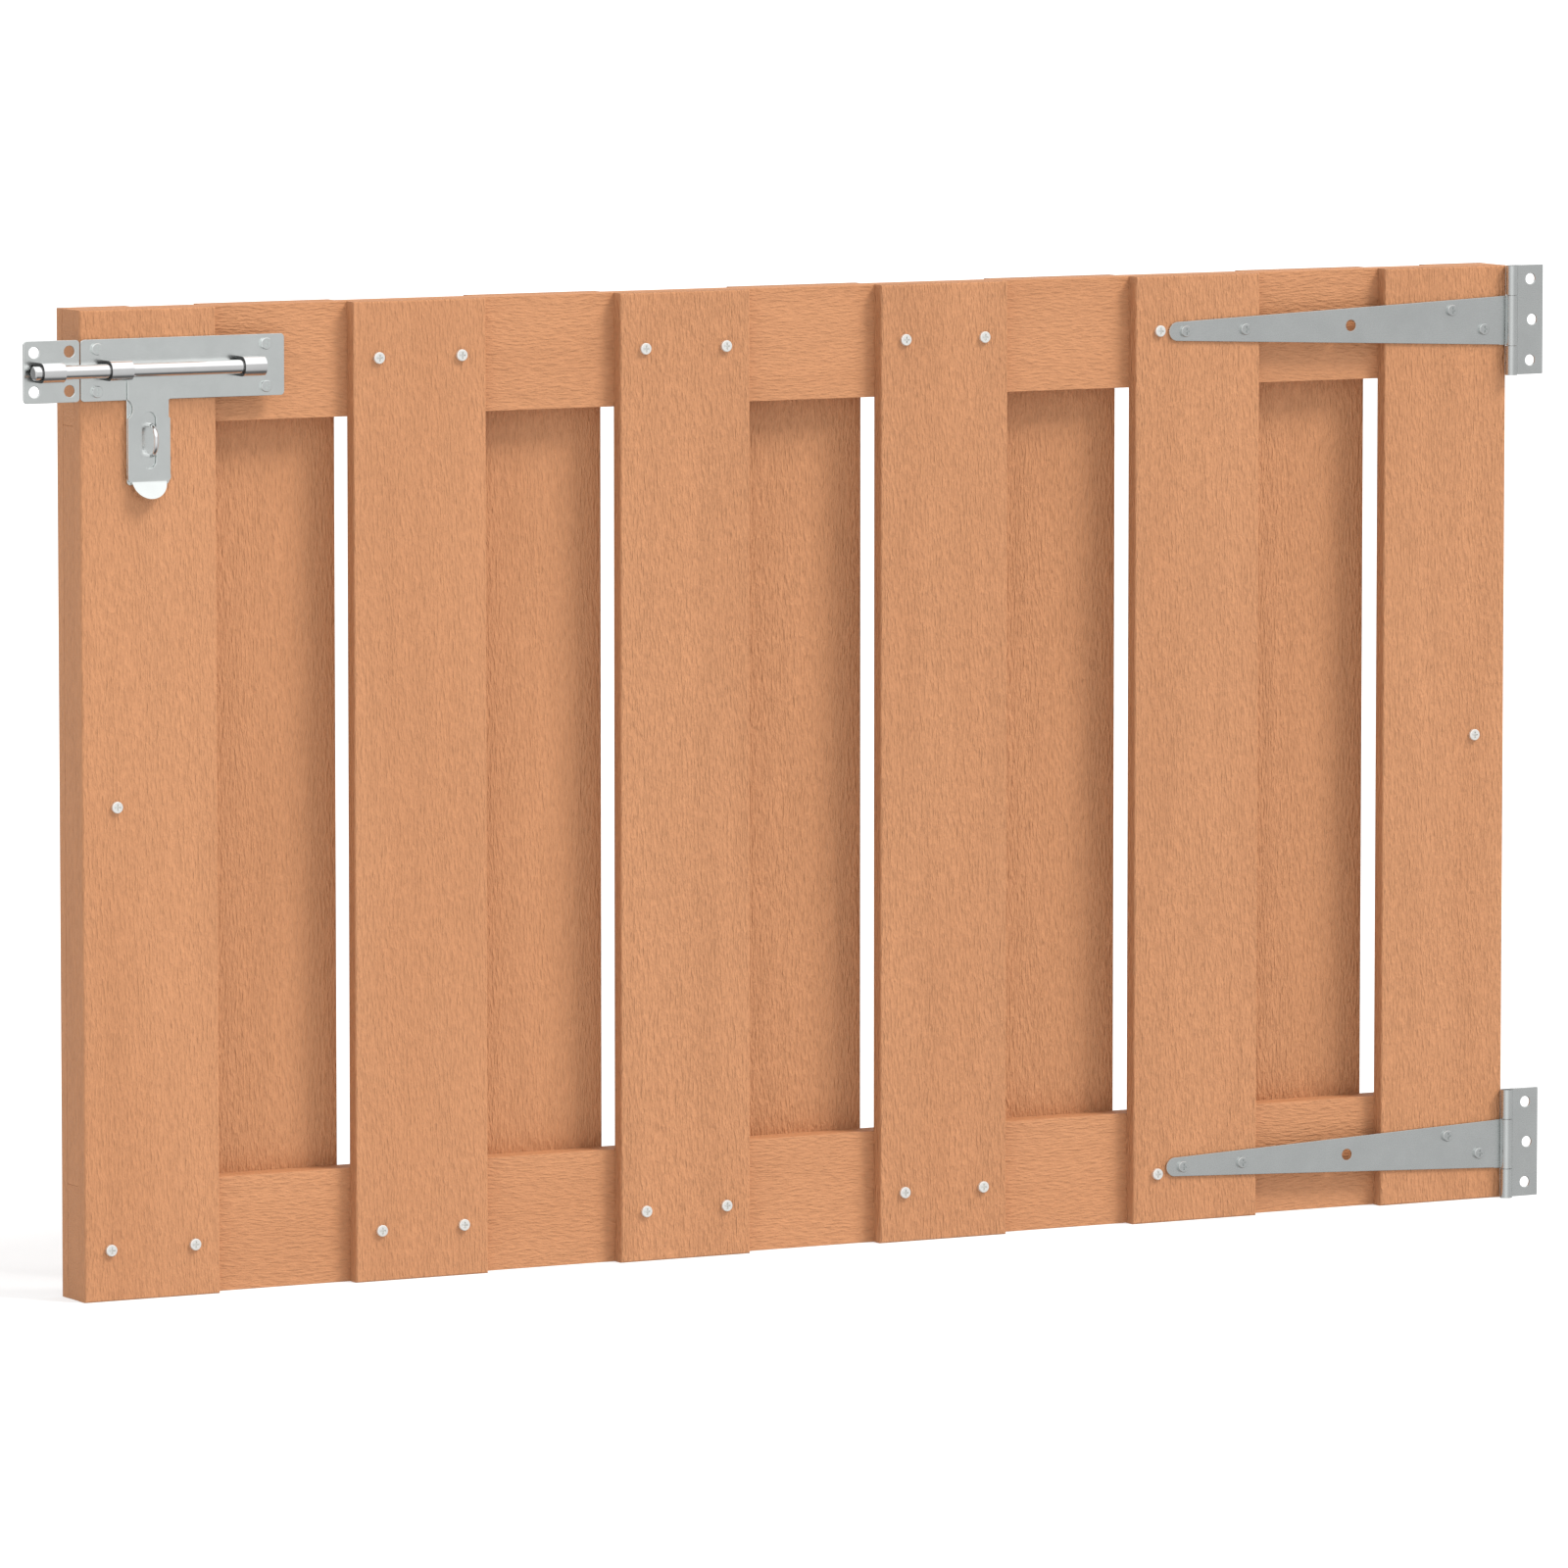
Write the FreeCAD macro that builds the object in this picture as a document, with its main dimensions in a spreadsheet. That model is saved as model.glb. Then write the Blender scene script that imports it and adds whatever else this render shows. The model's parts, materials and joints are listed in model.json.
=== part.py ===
import FreeCAD, Part
import os

# Low garden gate: two layers of upright boards screwed to a frame of two rails and two stiles, hung on
# two T-hinges and held shut by a padlock bolt that runs into a keeper beside the gate.
# The origin is at the middle of the bottom edge. +X runs along the gate towards the hinges, +Z is up,
# and the hinges and the bolt are on the front, which faces -Y. Millimetres.

Vector = FreeCAD.Vector
doc = FreeCAD.newDocument("GardenGate")

SIZES = {
    # boards
    "gate_width": 1000,
    "gate_height": 600,
    "slat_count": 6,
    "slat_width": 90,
    "slat_thick": 9,
    "rail_height": 70,
    "rail_thick": 16,
    "stile_width": 45,
    "back_width": 90,
    "back_thick": 9,
    "batten_width": 45,
    "arris": 1.2,
    "frame_arris": 0.4,
    # wood screws, all of one kind
    "screw_length": 22,
    "screw_point": 5,
    "screw_tip": 0.4,
    "shank_radius": 1.9,
    "screw_gap": 0.05,
    "head_radius": 3.6,
    "head_height": 2,
    "head_round": 0.5,
    "recess_length": 4.2,
    "recess_width": 1.1,
    "recess_depth": 1.2,
    # places of the screws, from the edges of the board they hold
    "screw_inset": 17,
    "screw_rise": 31.2,
    "screw_drop": 34.4,
    "batten_screw_inset": 30,
    "batten_screw_rise": 15,
    # sheet metal of the hinges and the bolt
    "plate_thick": 1.5,
    "plate_corner": 2.5,
    "open_hole_radius": 3.5,
    # T-hinges
    "hinge_gap": 1.7,
    "knuckle_radius": 3.9,
    "knuckle_gap": 0.4,
    "pin_radius": 2,
    "pin_gap": 0.05,
    "pin_fit": 0.02,
    "strap_wide": 31.7,
    "strap_narrow": 12.2,
    "strap_end": 11.5,
    "strap_first": 34.8,
    "strap_second": 78.2,
    "strap_hole": 26,
    "strap_third": 48.2,
    "strap_fourth": 72,
    "strap_third_up": 7.5,
    "strap_fourth_down": 5.2,
    "flange_height": 70,
    "flange_width": 25,
    "flange_hole": 15.5,
    "flange_hole_step": 1.3,
    "flange_hole_spacing": 52,
    "flange_corner": 0.6,
    # padlock bolt
    "latch_drop": 36,
    "latch_width": 135,
    "latch_height": 37.5,
    "latch_screw_near": 10.2,
    "latch_screw_far": 122.3,
    "latch_screw_spacing": 25.7,
    "bolt_out": 8.5,
    "bolt_radius": 4.3,
    "bolt_chamfer": 0.8,
    "bolt_reach": 35.2,
    "bolt_inside": 116.5,
    "guide_gap": 0.3,
    "guide_wall": 1.5,
    "guide_length": 14.5,
    "guide_near": 14.4,
    "guide_far": 102.5,
    # hasp over its tongue, and the padlock staple
    "hasp_middle": 44.1,
    "tongue_width": 28.2,
    "tongue_drop": 70,
    "hasp_width": 28.2,
    "hasp_drop": 68,
    "hasp_gap": 0.3,
    "slot_width": 9.2,
    "slot_height": 34,
    "slot_drop": 43,
    "notch_radius": 6.3,
    "notch_out": 2.8,
    "notch_drop": 24.1,
    "lip_radius": 11.3,
    "lip_tilt": 24,
    "staple_radius": 9.2,
    "staple_wire": 1.5,
    "staple_leg": 1.6,
    "staple_shift": 0.4,
    # keeper
    "keeper_gap": 0.7,
    "keeper_width": 36.9,
    "keeper_loop": 7.4,
    "keeper_hole_x": 23.1,
    "keeper_hole_z": 23.7,
    "keeper_hole_inset": 7.1,
}

sheet = doc.addObject("Spreadsheet::Sheet", "Sizes")
for line, (alias, size) in enumerate(SIZES.items(), start=1):
    sheet.set(f"A{line}", str(size))
    sheet.setAlias(f"A{line}", alias)
doc.recompute()


def number(expression):
    return float(sheet.evalExpression(expression))


# Places that several pieces share, as expressions of the sheet.
left = "(-Sizes.gate_width / 2)"
right = "(Sizes.gate_width / 2)"
front = "(-(Sizes.slat_thick + Sizes.rail_thick + Sizes.back_thick) / 2)"
rail_front = f"({front} + Sizes.slat_thick)"
back_front = f"({rail_front} + Sizes.rail_thick)"
back = f"({back_front} + Sizes.back_thick)"
plate_front = f"({front} - Sizes.plate_thick)"
pitch = "((Sizes.gate_width - Sizes.slat_width) / (Sizes.slat_count - 1))"
slat_count = int(number("Sizes.slat_count"))

UPRIGHT = FreeCAD.Rotation()
ALONG_X = FreeCAD.Rotation(Vector(0, 1, 0), 90)
ALONG_Y = FreeCAD.Rotation(Vector(1, 0, 0), -90)
HALF_TURN = FreeCAD.Rotation(Vector(0, 0, 1), 180)

sub_parts = []


def primitive(kind, name, x, y, z, turn=UPRIGHT, **sizes):
    """A Part primitive, its sizes and place bound to the sheet."""
    thing = doc.addObject("Part::" + kind, name)
    thing.Placement = FreeCAD.Placement(Vector(), turn)
    for size_name, expression in sizes.items():
        thing.setExpression(size_name, expression)
    for axis, expression in zip("xyz", (x, y, z)):
        thing.setExpression("Placement.Base." + axis, expression)
    return thing


def fused(name, *pieces):
    thing = doc.addObject("Part::MultiFuse", name)
    thing.Shapes = list(pieces)
    thing.Refine = True
    return thing


def cut(name, base, tool):
    thing = doc.addObject("Part::Cut", name)
    thing.Base = base
    thing.Tool = tool
    return thing


def gathered(name, pieces):
    thing = doc.addObject("Part::Compound", name)
    thing.Links = pieces
    return thing


def softened(name, base, radius, wanted, kind="Fillet"):
    """The base with a round (or a chamfer) on each edge that the test picks out."""
    doc.recompute()
    thing = doc.addObject("Part::" + kind, name)
    thing.Base = base
    numbered = enumerate(base.Shape.Edges, start=1)
    thing.Edges = [(index, radius, radius) for index, edge in numbered if wanted(edge)]
    return thing


def named(thing, label):
    thing.Label = label
    sub_parts.append(thing)


def runs_through(edge):
    """True for a straight edge that runs through the gate's thickness."""
    return len(edge.Vertexes) == 2 and abs(edge.tangentAt(edge.FirstParameter).y) > 0.999


# ---- wood screw: pan head with a cross recess, its seat at the origin and its point towards +Y
shank = primitive("Cylinder", "shank", "0", "0", "0", ALONG_Y,
                  Radius="Sizes.shank_radius", Height="Sizes.screw_length - Sizes.screw_point")
point = primitive("Cone", "point", "0", "Sizes.screw_length - Sizes.screw_point", "0", ALONG_Y,
                  Radius1="Sizes.shank_radius", Radius2="Sizes.screw_tip", Height="Sizes.screw_point")
head_blank = primitive("Cylinder", "head_blank", "0", "-Sizes.head_height", "0", ALONG_Y,
                       Radius="Sizes.head_radius", Height="Sizes.head_height")
head_front = -number("Sizes.head_height")
head = softened("head", head_blank, number("Sizes.head_round"),
                lambda edge: len(edge.Vertexes) == 1 and abs(edge.CenterOfMass.y - head_front) < 0.001)
recess_bars = []
for bar, across, up in (("recess_level", "length", "width"), ("recess_upright", "width", "length")):
    recess_bars.append(primitive(
        "Box", bar, f"-Sizes.recess_{across} / 2", "-Sizes.head_height", f"-Sizes.recess_{up} / 2",
        Length=f"Sizes.recess_{across}", Width="Sizes.recess_depth", Height=f"Sizes.recess_{up}"))
screw = cut("screw", fused("screw_blank", shank, point, head), fused("recess", *recess_bars))

drillings = []


def screw_row(label, places, turn=UPRIGHT):
    """One node of screws, each seated at an (x, y, z), and the drilling that each one needs."""
    copies = []
    for index, (x, y, z) in enumerate(places, start=1):
        copy = doc.addObject("App::Link", f"{label}_{index}")
        copy.LinkedObject = screw
        copy.Placement = FreeCAD.Placement(Vector(), turn)
        for axis, expression in zip("xyz", (x, y, z)):
            copy.setExpression("Placement.Base." + axis, expression)
        copies.append(copy)
        drillings.append(primitive(
            "Cylinder", f"{label}_drilling_{index}", x, y, z, turn.multiply(ALONG_Y),
            Radius="Sizes.shank_radius + Sizes.screw_gap", Height="Sizes.screw_length + Sizes.screw_gap"))
    named(gathered(label, copies), label)


slat_lefts = [f"({left} + {index} * {pitch})" for index in range(slat_count)]
low = "Sizes.screw_rise"
high = "(Sizes.gate_height - Sizes.screw_drop)"

# The bolt's plate takes the place of the first slat's upper screws, and the straps that of the last
# slat's screws and of half the screws of the slat before it.
slat_places = []
for index, slat_left in enumerate(slat_lefts[:-1]):
    near = f"({slat_left} + Sizes.screw_inset)"
    far = f"({slat_left} + Sizes.slat_width - Sizes.screw_inset)"
    columns = [near] if index == slat_count - 2 else [near, far]
    for x in columns:
        slat_places.append((x, front, low))
        if index > 0:
            slat_places.append((x, front, high))
screw_row("slat_screws", slat_places)

half_stile = "Sizes.stile_width / 2"
half_height = "(Sizes.gate_height / 2)"
screw_row("stile_screws", [(f"({left} + {half_stile})", front, half_height),
                           (f"({right} - {half_stile})", front, half_height)])

back_lefts = [f"({left} + ({index} + 0.5) * {pitch} + (Sizes.slat_width - Sizes.back_width) / 2)"
              for index in range(slat_count - 1)]
half_rail = "(Sizes.rail_height / 2)"
rail_lines = [half_rail, f"(Sizes.gate_height - {half_rail})"]
back_places = []
for back_left in back_lefts:
    for z in rail_lines:
        back_places.append((f"({back_left} + Sizes.screw_inset)", back, z))
        back_places.append((f"({back_left} + Sizes.back_width - Sizes.screw_inset)", back, z))
screw_row("back_slat_screws", back_places, HALF_TURN)

batten_lines = ["Sizes.batten_screw_rise", "(Sizes.gate_height - Sizes.batten_screw_rise)"]
screw_row("batten_screws", [(x, back, z) for z in batten_lines
                            for x in (f"({left} + Sizes.batten_screw_inset)",
                                      f"({right} - Sizes.batten_screw_inset)")], HALF_TURN)

# The straps and the bolt's plate are screwed down through their own thickness.
latch_z = "(Sizes.gate_height - Sizes.latch_drop)"
half_spacing = "Sizes.latch_screw_spacing / 2"
screw_row("latch_screws", [(f"({left} + Sizes.latch_screw_{column})", plate_front,
                            f"({latch_z} {side} {half_spacing})")
                           for column in ("near", "far") for side in "+-"])

strap_first = f"({slat_lefts[-2]} + Sizes.strap_first)"
strap_second = f"({slat_lefts[-2]} + Sizes.strap_second)"
strap_third = f"({slat_lefts[-1]} + Sizes.strap_third)"
strap_fourth = f"({slat_lefts[-1]} + Sizes.strap_fourth)"
hinges = {"lower": rail_lines[0], "upper": rail_lines[1]}
for level, z in hinges.items():
    screw_row(level + "_strap_screws", [
        (strap_first, plate_front, z),
        (strap_second, plate_front, z),
        (strap_third, plate_front, f"({z} + Sizes.strap_third_up)"),
        (strap_fourth, plate_front, f"({z} - Sizes.strap_fourth_down)")])

drilled = gathered("drilled", drillings)


# ---- boards: planed and drilled for every screw that passes through them. The face that shows has
# eased edges, and the boards of the frame, which lie between others, have barely eased ones.
def board(label, x, y, z, long, thick, high, arris="Sizes.arris", face=None):
    """A board from its lower left front corner; face is the y of its only eased face, if it has one."""
    blank = primitive("Box", label + "_blank", x, y, z, Length=long, Width=thick, Height=high)
    shown = face and number(face)
    eased = softened(label + "_eased", blank, number(arris),
                     lambda edge: face is None or abs(edge.BoundBox.YMin - shown) < 0.01
                     and edge.BoundBox.YLength < 0.01)
    named(cut(label + "_drilled", eased, drilled), label)


for index, slat_left in enumerate(slat_lefts, start=1):
    board(f"front_slat_{index}", slat_left, front, "0", "Sizes.slat_width", "Sizes.slat_thick",
          "Sizes.gate_height", face=front)
for index, back_left in enumerate(back_lefts, start=1):
    board(f"back_slat_{index}", back_left, back_front, "0", "Sizes.back_width", "Sizes.back_thick",
          "Sizes.gate_height", face=back)
for level, z in (("bottom", "0"), ("top", "(Sizes.gate_height - Sizes.rail_height)")):
    board("rail_" + level, left, rail_front, z, "Sizes.gate_width", "Sizes.rail_thick",
          "Sizes.rail_height", "Sizes.frame_arris")
for side, stile_left, batten_left in (
        ("left", left, left),
        ("right", f"({right} - Sizes.stile_width)", f"({right} - Sizes.batten_width)")):
    board("stile_" + side, stile_left, rail_front, "Sizes.rail_height", "Sizes.stile_width",
          "Sizes.rail_thick", "(Sizes.gate_height - 2 * Sizes.rail_height)", "Sizes.frame_arris")
    board("end_batten_" + side, batten_left, back_front, "0", "Sizes.batten_width", "Sizes.back_thick",
          "Sizes.gate_height", face=back)


def plate(name, x, z, wide, high, y=plate_front):
    """A flat sheet-metal plate facing the front, from its lower left corner."""
    return primitive("Box", name, x, y, z, Length=wide, Width="Sizes.plate_thick", Height=high)


def hole(name, x, y, z, radius="Sizes.open_hole_radius"):
    return primitive("Cylinder", name, x, y, z, ALONG_Y, Radius=radius, Height="Sizes.plate_thick")


# ---- T-hinges: the strap's middle knuckle turns on a pin that the flange's outer knuckles grip
hinge_x = f"({right} + Sizes.hinge_gap)"
hinge_y = f"({front} - Sizes.knuckle_radius)"
knuckle_reach = "(Sizes.knuckle_radius + Sizes.knuckle_gap)"
half_flange = "(Sizes.flange_height / 2)"
half_strap = "(Sizes.strap_wide / 2)"
strap_tip = "(Sizes.strap_narrow / 2)"
tip_middle = f"({strap_first} - Sizes.strap_end + {strap_tip})"
STRAP_WAY = FreeCAD.Rotation(Vector(0, 0, 1), 90)

for level, z in hinges.items():
    # The wedge narrows from the knuckle to the round tip.
    taper = primitive("Wedge", level + "_taper", hinge_x, plate_front, z, STRAP_WAY,
                      Xmin="0", Xmax="Sizes.plate_thick", X2min="0", X2max="Sizes.plate_thick",
                      Ymin="0", Ymax=f"{hinge_x} - {tip_middle}",
                      Zmin=f"-{half_strap}", Zmax=half_strap, Z2min=f"-{strap_tip}", Z2max=strap_tip)
    tip = hole(level + "_tip", tip_middle, plate_front, z, strap_tip)
    knuckle = primitive("Cylinder", level + "_knuckle", hinge_x, hinge_y, f"{z} - {half_strap}",
                        Radius="Sizes.knuckle_radius", Height="Sizes.strap_wide")
    strap_blank = fused(level + "_strap_blank", taper, tip, knuckle)
    bore = primitive("Cylinder", level + "_bore", hinge_x, hinge_y, f"{z} - {half_flange}",
                     Radius="Sizes.pin_radius + Sizes.pin_gap", Height="Sizes.flange_height")
    bolt_hole = hole(level + "_bolt_hole", f"{slat_lefts[-1]} - Sizes.strap_hole", plate_front, z)
    strap_openings = gathered(level + "_strap_openings", [bore, bolt_hole] + drillings)
    named(cut(level + "_strap_bored", strap_blank, strap_openings), level + "_hinge_strap")

    leaf = plate(level + "_leaf", hinge_x, f"{z} - {half_flange}", "Sizes.flange_width",
                 "Sizes.flange_height")
    far_edge = number(f"{hinge_x} + Sizes.flange_width")
    leaf_rounded = softened(level + "_leaf_rounded", leaf, number("Sizes.flange_corner"),
                            lambda edge: runs_through(edge) and abs(edge.CenterOfMass.x - far_edge) < 0.01)
    barrel = primitive("Cylinder", level + "_barrel", hinge_x, hinge_y, f"{z} - {half_flange}",
                       Radius="Sizes.knuckle_radius", Height="Sizes.flange_height")
    flange_blank = fused(level + "_flange_blank", leaf_rounded, barrel)
    room = primitive("Box", level + "_room", f"{hinge_x} - {knuckle_reach}", f"{hinge_y} - {knuckle_reach}",
                     f"{z} - {half_strap} - Sizes.knuckle_gap", Length=f"2 * {knuckle_reach}",
                     Width=f"2 * {knuckle_reach}", Height="Sizes.strap_wide + 2 * Sizes.knuckle_gap")
    grip = primitive("Cylinder", level + "_grip", hinge_x, hinge_y, f"{z} - {half_flange}",
                     Radius="Sizes.pin_radius + Sizes.pin_fit", Height="Sizes.flange_height")
    column = f"({hinge_x} + Sizes.flange_hole)"
    half_holes = "Sizes.flange_hole_spacing / 2"
    flange_holes = [
        hole(level + "_flange_hole_high", column, plate_front, f"{z} + {half_holes}"),
        hole(level + "_flange_hole_middle", f"{column} + Sizes.flange_hole_step", plate_front, z),
        hole(level + "_flange_hole_low", column, plate_front, f"{z} - {half_holes}")]
    flange_openings = gathered(level + "_flange_openings", [room, grip] + flange_holes)
    named(cut(level + "_flange_bored", flange_blank, flange_openings), level + "_hinge_flange")

    pin = primitive("Cylinder", level + "_pin", hinge_x, hinge_y, f"{z} - {half_flange}",
                    Radius="Sizes.pin_radius", Height="Sizes.flange_height")
    named(pin, level + "_hinge_pin")


# ---- padlock bolt: plate with a tongue, and guides bent over the round bolt
bolt_y = f"({plate_front} - Sizes.bolt_out)"
latch_low = f"({latch_z} - Sizes.latch_height / 2)"
hasp_x = f"({left} + Sizes.hasp_middle)"

face = softened("latch_face", plate("latch_face_blank", left, latch_low, "Sizes.latch_width",
                                    "Sizes.latch_height"),
                number("Sizes.plate_corner"), runs_through)
tongue = softened("tongue", plate("tongue_blank", f"{hasp_x} - Sizes.tongue_width / 2",
                                  f"{latch_z} - Sizes.tongue_drop", "Sizes.tongue_width",
                                  "Sizes.tongue_drop"),
                  number("Sizes.plate_corner"), runs_through)
named(cut("latch_plate_drilled", fused("latch_plate_blank", face, tongue), drilled), "latch_base_plate")


def guide(label, x):
    """A strip bent to a U over the bolt, its two legs standing on the plate."""
    inner = "(Sizes.bolt_radius + Sizes.guide_gap)"
    outer = f"({inner} + Sizes.guide_wall)"
    layers = []
    for layer, radius in (("outer", outer), ("inner", inner)):
        bend = primitive("Cylinder", f"{label}_{layer}_bend", x, bolt_y, latch_z, ALONG_X,
                         Radius=radius, Height="Sizes.guide_length")
        legs = primitive("Box", f"{label}_{layer}_legs", x, bolt_y, f"{latch_z} - {radius}",
                         Length="Sizes.guide_length", Width="Sizes.bolt_out", Height=f"2 * {radius}")
        layers.append(fused(f"{label}_{layer}", bend, legs))
    named(cut(label + "_bent", *layers), label)


guide("bolt_guide_near", f"({left} + Sizes.guide_near)")
guide("bolt_guide_far", f"({left} + Sizes.guide_far)")

bolt_blank = primitive("Cylinder", "bolt_blank", f"{left} - Sizes.bolt_reach", bolt_y, latch_z, ALONG_X,
                       Radius="Sizes.bolt_radius", Height="Sizes.bolt_reach + Sizes.bolt_inside")
named(softened("bolt_chamfered", bolt_blank, number("Sizes.bolt_chamfer"),
               lambda edge: len(edge.Vertexes) == 1, "Chamfer"), "bolt_rod")

# The staple is a half ring of wire on two short legs, standing on the tongue through the hasp's slot.
slot_z = f"({latch_z} - Sizes.slot_drop)"
staple_x = f"({hasp_x} + Sizes.staple_shift)"
ring_y = f"({plate_front} - Sizes.staple_leg)"
RING_WAY = FreeCAD.Rotation(Vector(0, 0, 1), Vector(0, -1, 0), Vector(1, 0, 0), "XYZ")
ring = primitive("Torus", "ring", staple_x, ring_y, slot_z, RING_WAY,
                 Radius1="Sizes.staple_radius", Radius2="Sizes.staple_wire", Angle3="180")
staple_legs = [primitive("Cylinder", name, staple_x, ring_y, f"{slot_z} {side} Sizes.staple_radius",
                         ALONG_Y, Radius="Sizes.staple_wire", Height="Sizes.staple_leg")
               for name, side in (("staple_leg_high", "+"), ("staple_leg_low", "-"))]
named(fused("staple_bent", ring, *staple_legs), "padlock_staple")

# The hasp hangs behind the bolt and in front of the tongue. Its saddle holds the back of the bolt.
hasp_y = f"({plate_front} - Sizes.hasp_gap - Sizes.plate_thick)"
hasp_left = f"({hasp_x} - Sizes.hasp_width / 2)"
hasp_low = f"({latch_z} - Sizes.hasp_drop)"
low_edge = number(hasp_low)
hasp_blade = softened("hasp_blade", plate("hasp_blank", hasp_left, hasp_low, "Sizes.hasp_width",
                                          "Sizes.hasp_drop", hasp_y),
                      number("Sizes.plate_corner"),
                      lambda edge: runs_through(edge) and abs(edge.CenterOfMass.z - low_edge) < 0.01)
saddle = primitive("Box", "saddle", hasp_left, bolt_y, f"{latch_z} - Sizes.bolt_radius",
                   Length="Sizes.hasp_width", Width=f"{hasp_y} - {bolt_y}", Height="Sizes.bolt_radius")
half_plate = "(Sizes.plate_thick / 2)"
bend = primitive("Cylinder", "lip_bend", f"{hasp_x} - Sizes.lip_radius", f"{hasp_y} + {half_plate}",
                 hasp_low, ALONG_X, Radius=half_plate, Height="2 * Sizes.lip_radius")
LIP_WAY = FreeCAD.Rotation(Vector(1, 0, 0), -90 - number("Sizes.lip_tilt"))
tilt = "(Sizes.lip_tilt * 1 deg)"
lip = primitive("Cylinder", "lip", hasp_x, f"{hasp_y} + {half_plate} * (1 - cos({tilt}))",
                f"{hasp_low} + {half_plate} * sin({tilt})", LIP_WAY,
                Radius="Sizes.lip_radius", Height="Sizes.plate_thick", Angle="180")
hasp_blank = fused("hasp_whole", hasp_blade, saddle, bend, lip)

slot_middle = primitive("Box", "slot_middle", f"{hasp_x} - Sizes.slot_width / 2", hasp_y,
                        f"{slot_z} - (Sizes.slot_height - Sizes.slot_width) / 2",
                        Length="Sizes.slot_width", Width="Sizes.plate_thick",
                        Height="Sizes.slot_height - Sizes.slot_width")
slot_ends = [hole(name, hasp_x, hasp_y, f"{slot_z} {side} (Sizes.slot_height - Sizes.slot_width) / 2",
                  "Sizes.slot_width / 2") for name, side in (("slot_high", "+"), ("slot_low", "-"))]
notches = [hole(name, f"{hasp_x} {side} (Sizes.hasp_width / 2 + Sizes.notch_out)", hasp_y,
                f"{latch_z} - Sizes.notch_drop", "Sizes.notch_radius")
           for name, side in (("notch_near", "-"), ("notch_far", "+"))]
bolt_room = primitive("Cylinder", "bolt_room", hasp_left, bolt_y, latch_z, ALONG_X,
                      Radius="Sizes.bolt_radius + Sizes.guide_gap", Height="Sizes.hasp_width")
hasp_openings = gathered("hasp_openings", [slot_middle, bolt_room] + slot_ends + notches)
named(cut("hasp_pressed", hasp_blank, hasp_openings), "hasp_plate")

# ---- keeper: a plate beside the gate with a loop like the guides
keeper_left = f"({left} - Sizes.keeper_gap - Sizes.keeper_width)"
keeper_face = softened("keeper_face", plate("keeper_blank", keeper_left, latch_low, "Sizes.keeper_width",
                                            "Sizes.latch_height"),
                       number("Sizes.plate_corner"), runs_through)
keeper_holes = []
for column, x in (("near", "0"), ("far", "Sizes.keeper_hole_x")):
    for row, side in (("high", "+"), ("low", "-")):
        keeper_holes.append(hole(f"keeper_hole_{column}_{row}",
                                 f"{keeper_left} + Sizes.keeper_hole_inset + {x}", plate_front,
                                 f"{latch_z} {side} Sizes.keeper_hole_z / 2"))
named(cut("keeper_drilled", keeper_face, gathered("keeper_openings", keeper_holes)), "keeper_plate")
guide("keeper_loop", f"({keeper_left} + Sizes.keeper_loop)")

# ---- check every object and every sub-part, then write the solids
doc.recompute()
faults = [thing.Name for thing in doc.Objects if {"Invalid", "Error"} & set(thing.State)]
for thing in sub_parts:
    if thing.Shape.isNull() or not thing.Shape.isValid() or not thing.Shape.Solids:
        faults.append(thing.Label)
if faults:
    raise SystemExit("failed: " + ", ".join(sorted(set(faults))))

os.makedirs("parts", exist_ok=True)
for thing in sub_parts:
    thing.Shape.exportStep(f"parts/{thing.Label}.step")
    print(f"{thing.Label}: {len(thing.Shape.Solids)} solid(s), {thing.Shape.Volume:.0f} mm3")
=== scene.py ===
import json
import math

import bmesh
import bpy
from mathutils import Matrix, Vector


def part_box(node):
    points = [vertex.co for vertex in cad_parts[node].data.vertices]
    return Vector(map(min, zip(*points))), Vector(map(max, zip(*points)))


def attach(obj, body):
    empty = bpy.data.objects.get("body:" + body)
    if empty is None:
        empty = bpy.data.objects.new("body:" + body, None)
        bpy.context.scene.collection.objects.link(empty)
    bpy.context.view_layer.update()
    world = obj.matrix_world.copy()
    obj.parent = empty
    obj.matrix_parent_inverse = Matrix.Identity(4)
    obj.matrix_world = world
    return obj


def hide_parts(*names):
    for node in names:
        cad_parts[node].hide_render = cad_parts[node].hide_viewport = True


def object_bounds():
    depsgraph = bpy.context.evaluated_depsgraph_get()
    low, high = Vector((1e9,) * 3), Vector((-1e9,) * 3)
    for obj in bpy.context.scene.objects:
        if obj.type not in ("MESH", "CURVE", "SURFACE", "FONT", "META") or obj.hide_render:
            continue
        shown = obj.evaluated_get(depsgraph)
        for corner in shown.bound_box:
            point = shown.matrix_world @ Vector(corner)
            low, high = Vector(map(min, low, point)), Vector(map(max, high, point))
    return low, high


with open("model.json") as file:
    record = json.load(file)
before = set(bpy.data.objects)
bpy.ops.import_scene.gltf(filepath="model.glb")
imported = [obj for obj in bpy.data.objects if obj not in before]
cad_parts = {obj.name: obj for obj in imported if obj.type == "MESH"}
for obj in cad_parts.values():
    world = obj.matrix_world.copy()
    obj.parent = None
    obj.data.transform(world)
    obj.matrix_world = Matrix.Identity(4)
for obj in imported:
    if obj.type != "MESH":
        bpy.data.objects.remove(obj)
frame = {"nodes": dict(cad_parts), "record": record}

# The camera stands to the left of the gate, a little above it, and looks down at its middle.
# A long lens keeps the boards almost parallel, as a catalogue picture of a gate does.
cad_low, cad_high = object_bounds()
middle = (cad_low + cad_high) / 2
aim_beside_middle = Vector((-0.00785, 0.0070, -0.0097))
aim = middle + aim_beside_middle
camera_left = math.radians(28.0095)
camera_above = math.radians(5.8572)
camera_away = 7.304
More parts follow.
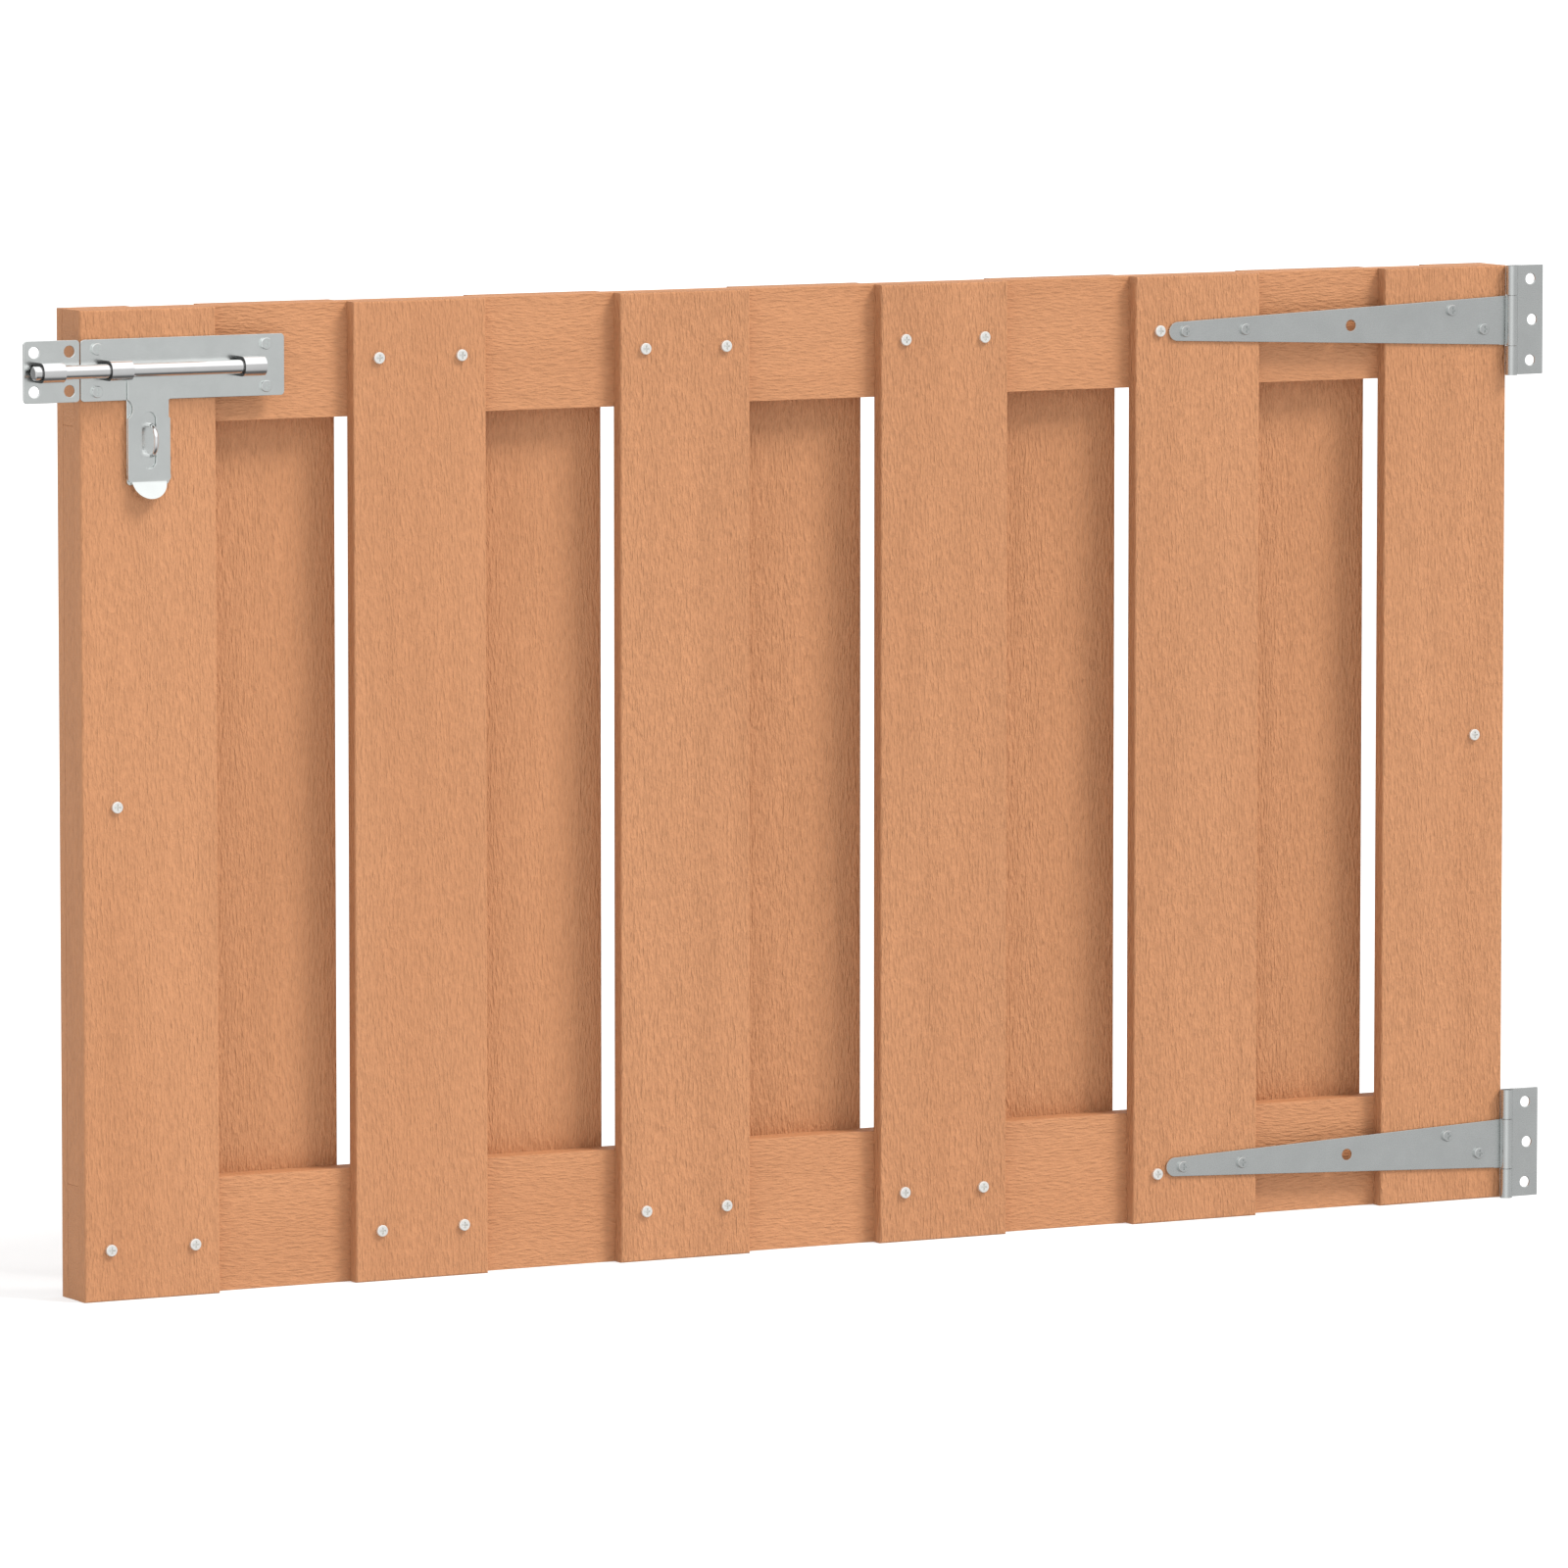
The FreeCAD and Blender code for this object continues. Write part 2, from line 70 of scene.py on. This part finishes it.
toward = Vector((math.sin(camera_left) * math.cos(camera_above),
                 math.cos(camera_left) * math.cos(camera_above),
                 -math.sin(camera_above)))
camera = bpy.data.objects.new("camera", bpy.data.cameras.new("camera"))
camera.data.sensor_width = 36
camera.data.lens = 269.66
camera.data.clip_end = 60
camera.location = aim - toward * camera_away
camera.rotation_euler = toward.to_track_quat("-Z", "Y").to_euler()
bpy.context.scene.collection.objects.link(camera)
bpy.context.scene.camera = camera

# The studio: an even white room with a softly lit white floor, and one softbox high on the hinge
# side in front, whose soft shadows fall left and down.
bpy.context.scene.view_settings.view_transform = "Standard"
world = bpy.data.worlds.new("studio")
world.use_nodes = True
world.node_tree.nodes["Background"].inputs["Color"].default_value = (1, 1, 1, 1)
world.node_tree.nodes["Background"].inputs["Strength"].default_value = 1.0
bpy.context.scene.world = world

softbox = bpy.data.objects.new("softbox", bpy.data.lights.new("softbox", "SUN"))
softbox.data.angle = math.radians(20)
softbox.data.energy = 3.0
softbox_way = Vector((0.47, -0.447, 0.76))
softbox.rotation_euler = (-softbox_way).to_track_quat("-Z", "Y").to_euler()
softbox.visible_glossy = False
bpy.context.scene.collection.objects.link(softbox)

FLOOR_HALF = 30
floor_mesh = bpy.data.meshes.new("floor")
floor_shape = bmesh.new()
bmesh.ops.create_grid(floor_shape, x_segments=1, y_segments=1, size=FLOOR_HALF)
floor_shape.to_mesh(floor_mesh)
floor_shape.free()
floor = bpy.data.objects.new("floor", floor_mesh)
bpy.context.scene.collection.objects.link(floor)
floor.visible_glossy = False
floor_paint = bpy.data.materials.new("floor_paint")
floor_paint.use_nodes = True
floor_finish = floor_paint.node_tree.nodes["Principled BSDF"]
floor_finish.inputs["Base Color"].default_value = (0.45, 0.45, 0.45, 1)
floor_finish.inputs["Roughness"].default_value = 0.9
floor_finish.inputs["Specular IOR Level"].default_value = 0
floor_finish.inputs["Emission Color"].default_value = (1, 1, 1, 1)
floor_finish.inputs["Emission Strength"].default_value = 0.55
floor_mesh.materials.append(floor_paint)

# The metal mirrors this dome: bright lamps overhead, grey walls, one lamp behind the camera, a
# darker wall behind the gate and a dark ground. Only reflections see it.
DOME_RADIUS = 25
WALLS = ((0.10, 0.15), (0.14, 0.42), (0.22, 0.70), (0.45, 0.76), (0.68, 0.80), (0.74, 1.55), (0.96, 1.55))
BEHIND_GLOW = 0.4
AROUND_GLOW = 0.82
LAMP_GLOW = 1.4
LAMP_NARROWNESS = 6


def node(tree, kind, **settings):
    """A shader node; a setting in capitals is a property, the others are input values."""
    made = tree.nodes.new("ShaderNode" + kind)
    for name, value in settings.items():
        if name.isupper():
            setattr(made, name.lower(), value)
        else:
            made.inputs[name.replace("_", " ")].default_value = value
    return made


def link(tree, *chain):
    """Joins outputs to inputs: each step is (node, output name or number, node, input name or number)."""
    for source, output, target, entry in chain:
        tree.links.new(source.outputs[output], target.inputs[entry])


def ramp(tree, *stops):
    """A colour ramp through the given (place, colour) stops."""
    made = tree.nodes.new("ShaderNodeValToRGB")
    while len(made.color_ramp.elements) < len(stops):
        made.color_ramp.elements.new(0.5)
    for element, (place, colour) in zip(made.color_ramp.elements, stops):
        element.position = place
        element.color = (*colour, 1) if isinstance(colour, tuple) else (colour, colour, colour, 1)
    return made


def product(tree, first, second):
    """The product of two (node, output) values."""
    made = node(tree, "Math", OPERATION="MULTIPLY")
    link(tree, (*first, made, 0), (*second, made, 1))
    return made


dome_mesh = bpy.data.meshes.new("mirrored_room")
dome_shape = bmesh.new()
bmesh.ops.create_icosphere(dome_shape, subdivisions=4, radius=DOME_RADIUS)
dome_shape.to_mesh(dome_mesh)
dome_shape.free()
dome = bpy.data.objects.new("mirrored_room", dome_mesh)
bpy.context.scene.collection.objects.link(dome)
dome.visible_camera = False
dome.visible_diffuse = False
dome.visible_shadow = False
dome.visible_transmission = False
dome_paint = bpy.data.materials.new("mirrored_room")
dome_paint.use_nodes = True
dome_paint.cycles.emission_sampling = "NONE"
dome_tree = dome_paint.node_tree
dome_glow = node(dome_tree, "Emission")
dome_place = node(dome_tree, "TexCoord")
dome_way = node(dome_tree, "VectorMath", OPERATION="NORMALIZE")
dome_parts = node(dome_tree, "SeparateXYZ")
dome_height = node(dome_tree, "MapRange", From_Min=-1.0, From_Max=1.0)
dome_walls = ramp(dome_tree, *WALLS)
dome_behind = node(dome_tree, "MapRange", From_Min=0.55, From_Max=0.80, To_Min=1.0, To_Max=BEHIND_GLOW)
dome_lamp = node(dome_tree, "VectorMath", OPERATION="DOT_PRODUCT")
dome_lamp.inputs[1].default_value = (-toward.x, -toward.y, 0)
dome_facing = node(dome_tree, "Math", OPERATION="MAXIMUM")
dome_facing.inputs[1].default_value = 0
dome_narrow = node(dome_tree, "Math", OPERATION="POWER")
dome_narrow.inputs[1].default_value = LAMP_NARROWNESS
dome_around = node(dome_tree, "MapRange", To_Min=AROUND_GLOW, To_Max=LAMP_GLOW)
dome_shine = product(dome_tree, (dome_behind, "Result"), (dome_around, "Result"))
link(dome_tree, (dome_place, "Object", dome_way, 0), (dome_way, "Vector", dome_parts, 0),
     (dome_parts, "Z", dome_height, "Value"), (dome_height, "Result", dome_walls, "Fac"),
     (dome_parts, "Y", dome_behind, "Value"), (dome_way, "Vector", dome_lamp, 0),
     (dome_lamp, "Value", dome_facing, 0), (dome_facing, "Value", dome_narrow, 0),
     (dome_narrow, "Value", dome_around, "Value"), (dome_walls, "Color", dome_glow, "Color"),
     (dome_shine, "Value", dome_glow, "Strength"),
     (dome_glow, "Emission", dome_tree.nodes["Material Output"], "Surface"))
dome_mesh.materials.append(dome_paint)

# The boards are planed softwood with a thin orange-brown stain. The planing leaves short shallow
# streaks along the grain, and the ends show the growth rings.
TIMBER_LIGHT = (0.488, 0.228, 0.109)
TIMBER_MIDDLE = (0.471, 0.218, 0.103)
TIMBER_DARK = (0.452, 0.206, 0.096)
STREAK_ACROSS = 0.0014
STREAK_LONG = 0.0072
STREAK_DEEP = 0.0010
FIBRE_ACROSS = STREAK_ACROSS * 0.6
FIBRE_LONG = STREAK_LONG / 4
FIBRE_SHARE = 0.2
WAVER_ACROSS = 0.045
WAVER_LONG = 0.11
WAVER_REACH = 0.011
TONE_ACROSS = 0.060
TONE_LONG = 0.45
BAND_ACROSS = 0.011
BAND_LONG = 0.30
RING_WIDE = 0.0032
END_FACING = 0.9


def timber(name, grain, shift, heart, streak_share):
    """Stained wood with its grain along axis 0 or 2, the tree's heart at a point, and streaks of a
    share of the full depth."""
    material = bpy.data.materials.new(name)
    material.use_nodes = True
    tree = material.node_tree
    finish = tree.nodes["Principled BSDF"]
    place = node(tree, "TexCoord")
    moved = node(tree, "Mapping", Location=shift)

    def stretched(across, long, source, output):
        sizes = [1 / across] * 3
        sizes[grain] = 1 / long
        made = node(tree, "Mapping", Scale=sizes)
        link(tree, (source, output, made, "Vector"))
        return made

    waver_map = stretched(WAVER_ACROSS, WAVER_LONG, moved, "Vector")
    waver = node(tree, "TexNoise", Scale=1.0, Detail=2.0)
    waver_centred = node(tree, "VectorMath", OPERATION="SUBTRACT")
    waver_centred.inputs[1].default_value = (0.5, 0.5, 0.5)
    waver_sized = node(tree, "VectorMath", OPERATION="SCALE", Scale=WAVER_REACH)
    grained = node(tree, "VectorMath", OPERATION="ADD")
    link(tree, (place, "Object", moved, "Vector"), (waver_map, "Vector", waver, "Vector"),
         (waver, "Color", waver_centred, 0), (waver_centred, "Vector", waver_sized, "Vector"),
         (moved, "Vector", grained, 0), (waver_sized, "Vector", grained, 1))

    streak = node(tree, "TexNoise", Scale=1.0, Detail=2.2, Roughness=0.5, Distortion=0.2)
    fibre = node(tree, "TexNoise", Scale=1.0, Detail=3.0, Roughness=0.6)
    tone = node(tree, "TexNoise", Scale=1.0, Detail=3.0, Roughness=0.5)
    band = node(tree, "TexNoise", Scale=1.0, Detail=2.0, Roughness=0.5)
    link(tree,
         (stretched(STREAK_ACROSS, STREAK_LONG, grained, "Vector"), "Vector", streak, "Vector"),
         (stretched(FIBRE_ACROSS, FIBRE_LONG, grained, "Vector"), "Vector", fibre, "Vector"),
         (stretched(TONE_ACROSS, TONE_LONG, grained, "Vector"), "Vector", tone, "Vector"),
         (stretched(BAND_ACROSS, BAND_LONG, grained, "Vector"), "Vector", band, "Vector"))

    stain = ramp(tree, (0.30, TIMBER_DARK), (0.50, TIMBER_MIDDLE), (0.70, TIMBER_LIGHT))
    banding = node(tree, "MapRange", From_Min=0.3, From_Max=0.7, To_Min=0.975, To_Max=1.02)
    # the streaks are also painted into the colour: darker in their hollows as painted shade, lighter on
    # their ridges as a painted highlight
    streak_painted_shade = node(tree, "MapRange", From_Min=0.28, From_Max=0.62, To_Min=0.90, To_Max=1.04)
    tone_and_painted_shade = node(tree, "Math", OPERATION="MULTIPLY")
    stain_and_painted_shade = node(tree, "VectorMath", OPERATION="SCALE")
    link(tree, (tone, "Fac", stain, "Fac"), (band, "Fac", banding, "Value"),
         (streak, "Fac", streak_painted_shade, "Value"), (banding, "Result", tone_and_painted_shade, 0),
         (streak_painted_shade, "Result", tone_and_painted_shade, 1), (stain, "Color", stain_and_painted_shade, "Vector"),
         (tone_and_painted_shade, "Value", stain_and_painted_shade, "Scale"))

    # end grain: arcs round the heart on the faces that cut across the board
    level = node(tree, "VectorMath", OPERATION="MULTIPLY")
    level.inputs[1].default_value = [0 if axis == grain else 1 for axis in range(3)]
    from_heart = node(tree, "VectorMath", OPERATION="DISTANCE")
    from_heart.inputs[1].default_value = [0 if axis == grain else heart[axis] for axis in range(3)]
    ringing = node(tree, "Math", OPERATION="MULTIPLY")
    ringing.inputs[1].default_value = 2 * math.pi / RING_WIDE
    ring = node(tree, "Math", OPERATION="SINE")
    ring_shade = node(tree, "MapRange", From_Min=-1.0, From_Max=1.0, To_Min=0.94, To_Max=1.0)
    cut_end = node(tree, "VectorMath", OPERATION="SCALE")
    facing = node(tree, "SeparateXYZ")
    flat = node(tree, "Math", OPERATION="ABSOLUTE")
    is_end = node(tree, "Math", OPERATION="GREATER_THAN")
    is_end.inputs[1].default_value = END_FACING
    wood_colour = node(tree, "Mix", DATA_TYPE="RGBA")
    link(tree, (grained, "Vector", level, 0), (level, "Vector", from_heart, 0),
         (from_heart, "Value", ringing, 0), (ringing, "Value", ring, 0),
         (ring, "Value", ring_shade, "Value"), (stain, "Color", cut_end, "Vector"),
         (ring_shade, "Result", cut_end, "Scale"),
         (place, "Normal", facing, 0), (facing, grain, flat, 0), (flat, "Value", is_end, 0),
         (is_end, "Value", wood_colour, 0), (stain_and_painted_shade, "Vector", wood_colour, 6),
         (cut_end, "Vector", wood_colour, 7), (wood_colour, 2, finish, "Base Color"))

    # the streaks and the finer fibre between them, as relief and as gloss
    relief = node(tree, "MapRange", From_Min=0.25, From_Max=0.75, To_Min=0.0, To_Max=1 - FIBRE_SHARE)
    fuzz = node(tree, "MapRange", From_Min=0.25, From_Max=0.75, To_Min=0.0, To_Max=FIBRE_SHARE)
    height = node(tree, "Math", OPERATION="ADD")
    bump = node(tree, "Bump", Strength=1.0, Distance=STREAK_DEEP * streak_share)
    gloss = node(tree, "MapRange", From_Min=0.3, From_Max=0.7, To_Min=0.66, To_Max=0.54)
    link(tree, (streak, "Fac", relief, "Value"), (fibre, "Fac", fuzz, "Value"),
         (relief, "Result", height, 0), (fuzz, "Result", height, 1), (height, "Value", bump, "Height"),
         (bump, "Normal", finish, "Normal"), (streak, "Fac", gloss, "Value"),
         (gloss, "Result", finish, "Roughness"))
    finish.inputs["Specular IOR Level"].default_value = 0.32
    return material


def finish_node(name, material):
    """Gives a CAD node its material."""
    surface = frame["nodes"][name].data.materials
    surface.clear()
    surface.append(material)


# the shares of the streak depth on the uprights at the latch end, the other uprights and the rails
LATCH_END = -0.2
LATCH_END_STREAKS = 1.0
OTHER_STREAKS = 1.35
RAIL_STREAKS = 0.75
UPRIGHT_HEART_BEHIND = 0.045
RAIL_HEART_BEHIND = 0.03
NEXT_UPRIGHT = Vector((0.37, 0.11, 0.53))
FIRST_RAIL = Vector((0.2, 0.17, 0))
NEXT_RAIL = Vector((0.41, 0, 0.23))
uprights = ([f"front_slat_{index}" for index in range(1, 7)]
            + [f"back_slat_{index}" for index in range(1, 6)]
            + ["stile_left", "stile_right", "end_batten_left", "end_batten_right"])
for index, name in enumerate(uprights):
    low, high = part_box(name)
    shift = NEXT_UPRIGHT * index
    heart = Vector(((low.x + high.x) / 2, high.y + UPRIGHT_HEART_BEHIND, 0)) + shift
    streak_share = LATCH_END_STREAKS if low.x < LATCH_END else OTHER_STREAKS
    finish_node(name, timber(name + "_wood", 2, shift, heart, streak_share))
for index, name in enumerate(("rail_bottom", "rail_top")):
    low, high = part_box(name)
    shift = FIRST_RAIL + NEXT_RAIL * index
    heart = Vector((0, high.y + RAIL_HEART_BEHIND, (low.z + high.z) / 2)) + shift
    finish_node(name, timber(name + "_wood", 0, shift, heart, RAIL_STREAKS))

# The wood screws are zinc-plated steel with pan heads, driven by a cross recess.
# The plating is bright but handled, so its gloss is uneven.
BRUSH_ACROSS = 1 / 2600
BRUSH_LONG = 1 / 45


def plated(name, colour, rough_low, rough_high, brushed=0, brush_deep=0.0, cloud=0.02):
    """Plated steel: brushed along one axis, with a faint cloudiness in the plating."""
    material = bpy.data.materials.new(name)
    material.use_nodes = True
    tree = material.node_tree
    finish = tree.nodes["Principled BSDF"]
    finish.inputs["Metallic"].default_value = 1.0
    place = node(tree, "TexCoord")
    sizes = [1 / BRUSH_ACROSS] * 3
    sizes[brushed] = 1 / BRUSH_LONG
    brush_map = node(tree, "Mapping", Scale=sizes)
    brush = node(tree, "TexNoise", Scale=1.0, Detail=3.0, Roughness=0.6)
    clouds = node(tree, "TexNoise", Scale=1 / cloud, Detail=4.0, Roughness=0.6)
    tint = ramp(tree, (0.3, tuple(channel * 0.93 for channel in colour)), (0.7, colour))
    rough = node(tree, "MapRange", From_Min=0.3, From_Max=0.7, To_Min=rough_low, To_Max=rough_high)
    mixed = node(tree, "Math", OPERATION="MULTIPLY_ADD")
    mixed.inputs[1].default_value = 0.5
    halved = node(tree, "Math", OPERATION="MULTIPLY")
    halved.inputs[1].default_value = 0.5
    bump = node(tree, "Bump", Strength=1.0, Distance=brush_deep)
    link(tree, (place, "Object", brush_map, "Vector"), (brush_map, "Vector", brush, "Vector"),
         (place, "Object", clouds, "Vector"), (clouds, "Fac", tint, "Fac"),
         (tint, "Color", finish, "Base Color"), (clouds, "Fac", halved, 0),
         (brush, "Fac", mixed, 0), (halved, "Value", mixed, 2), (mixed, "Value", rough, "Value"),
         (rough, "Result", finish, "Roughness"), (brush, "Fac", bump, "Height"),
         (bump, "Normal", finish, "Normal"))
    return material


screw_steel = plated("screw_steel", (0.90, 0.89, 0.86), 0.30, 0.42, brush_deep=0.000005, cloud=0.004)
screw_steel.node_tree.nodes["Principled BSDF"].inputs["Metallic"].default_value = 0.75
for name in ("slat_screws", "stile_screws", "back_slat_screws", "batten_screws"):
    finish_node(name, screw_steel)

# The T-hinges are punched from sheet steel and zinc-plated after rolling. Punching leaves the
# edges a little round. The strap's knuckle turns on a steel pin, which the flange's knuckles grip.
STRAP_EASE = 0.0006
FLANGE_EASE = 0.0005
STRAP_ROLL = 0.006
FLANGE_ROLL = 0.005
MERGE = 0.000004
CUT_NEAR = 0.000002
hinge_zinc = plated("hinge_zinc", (0.635, 0.655, 0.65), 0.22, 0.32, brush_deep=0.000006)
pin_steel = plated("pin_steel", (0.62, 0.62, 0.61), 0.18, 0.30, brushed=2, brush_deep=0.00001)
body_of = {name: body for body, names in frame["record"]["behaviour"]["bodies"].items() for name in names}


def eased(name, ease, material, flat=None, sharp=math.radians(35)):
    """A copy of a CAD node that stands for it, with its edges broken by a small round. Given an axis
    and two ends, only the flat part between the ends is eased."""
    shape = bmesh.new()
    shape.from_mesh(frame["nodes"][name].data)
    bmesh.ops.remove_doubles(shape, verts=shape.verts, dist=MERGE)
    bmesh.ops.dissolve_limit(shape, angle_limit=math.radians(0.5), verts=shape.verts, edges=shape.edges)
    axis, first, last = flat or (0, cad_low.x - 1, cad_high.x + 1)
    cut_way = Vector([1 if index == axis else 0 for index in range(3)])
    for end in (first, last):
        bmesh.ops.bisect_plane(shape, geom=shape.verts[:] + shape.edges[:] + shape.faces[:],
                               dist=CUT_NEAR / 2, plane_co=cut_way * end, plane_no=cut_way)
    corners = [edge for edge in shape.edges
               if len(edge.link_faces) == 2 and edge.calc_face_angle() > sharp
               and all(first - CUT_NEAR < corner.co[axis] < last + CUT_NEAR for corner in edge.verts)]
    bmesh.ops.bevel(shape, geom=corners, offset=ease, affect="EDGES", segments=2, profile=0.5,
                    material=-1, clamp_overlap=False)
    bmesh.ops.dissolve_degenerate(shape, dist=CUT_NEAR, edges=shape.edges)
    bmesh.ops.recalc_face_normals(shape, faces=shape.faces)
    for face in shape.faces:
        face.smooth = True
    for edge in shape.edges:
        edge.smooth = len(edge.link_faces) == 2 and edge.calc_face_angle() < sharp
    mesh = bpy.data.meshes.new(name + "_eased")
    shape.to_mesh(mesh)
    shape.free()
    mesh.materials.append(material)
    piece = bpy.data.objects.new(name + "_eased", mesh)
    bpy.context.scene.collection.objects.link(piece)
    level_faces = piece.modifiers.new("level_faces", "WEIGHTED_NORMAL")
    level_faces.weight = 100
    level_faces.keep_sharp = True
    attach(piece, body_of[name])
    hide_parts(name)
    return piece


for level in ("upper", "lower"):
    pin_low, pin_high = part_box(level + "_hinge_pin")
    strap_flat = (0, cad_low.x, pin_low.x - STRAP_ROLL)
    flange_flat = (0, pin_high.x + FLANGE_ROLL, cad_high.x + 1)
    eased(level + "_hinge_strap", STRAP_EASE, hinge_zinc, strap_flat)
    eased(level + "_hinge_flange", FLANGE_EASE, hinge_zinc, flange_flat)
    finish_node(level + "_hinge_pin", pin_steel)
    finish_node(level + "_strap_screws", hinge_zinc)

# The padlock bolt: its plate, the hasp and the keeper are pale zinc-plated sheet.
# The tongue under the hasp is part of the plate. The hasp is flat between its lip and its saddle.
PLATE_EASE = 0.0005
LIP_LONG = 0.015
SADDLE_BELOW_ROD = 0.004
plate_zinc = plated("plate_zinc", (0.78, 0.81, 0.80), 0.17, 0.26, brush_deep=0.000005)
for name in ("latch_base_plate", "keeper_plate"):
    eased(name, PLATE_EASE, plate_zinc)
hasp_flat = (2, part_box("hasp_plate")[0].z + LIP_LONG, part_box("bolt_rod")[0].z - SADDLE_BELOW_ROD)
eased("hasp_plate", PLATE_EASE, plate_zinc, hasp_flat)
finish_node("latch_screws", plate_zinc)

# The round bolt, its guides, the keeper's loop and the padlock staple are polished and plated.
# The guides and the loop are bent from strip; the strip's end faces are painted near-black, a painted
# shade of the shadowed gap round the rod and a painted dark reflection.
STRIP_EASE = 0.0002
bright_steel = plated("bright_steel", (0.86, 0.86, 0.86), 0.14, 0.20, brush_deep=0.000003)
edge_painted_shade = plated("edge_painted_shade", (0.10, 0.10, 0.10), 0.45, 0.60, brush_deep=0.00001)
for name in ("bolt_guide_near", "bolt_guide_far", "keeper_loop"):
    strip = eased(name, STRIP_EASE, bright_steel)
    strip.data.materials.append(edge_painted_shade)
    # end faces looking along the bolt get the near-black painted shade
    for face in strip.data.polygons:
        if abs(face.normal.x) > END_FACING:
            face.material_index = 1
for name in ("bolt_rod", "padlock_staple"):
    finish_node(name, bright_steel)
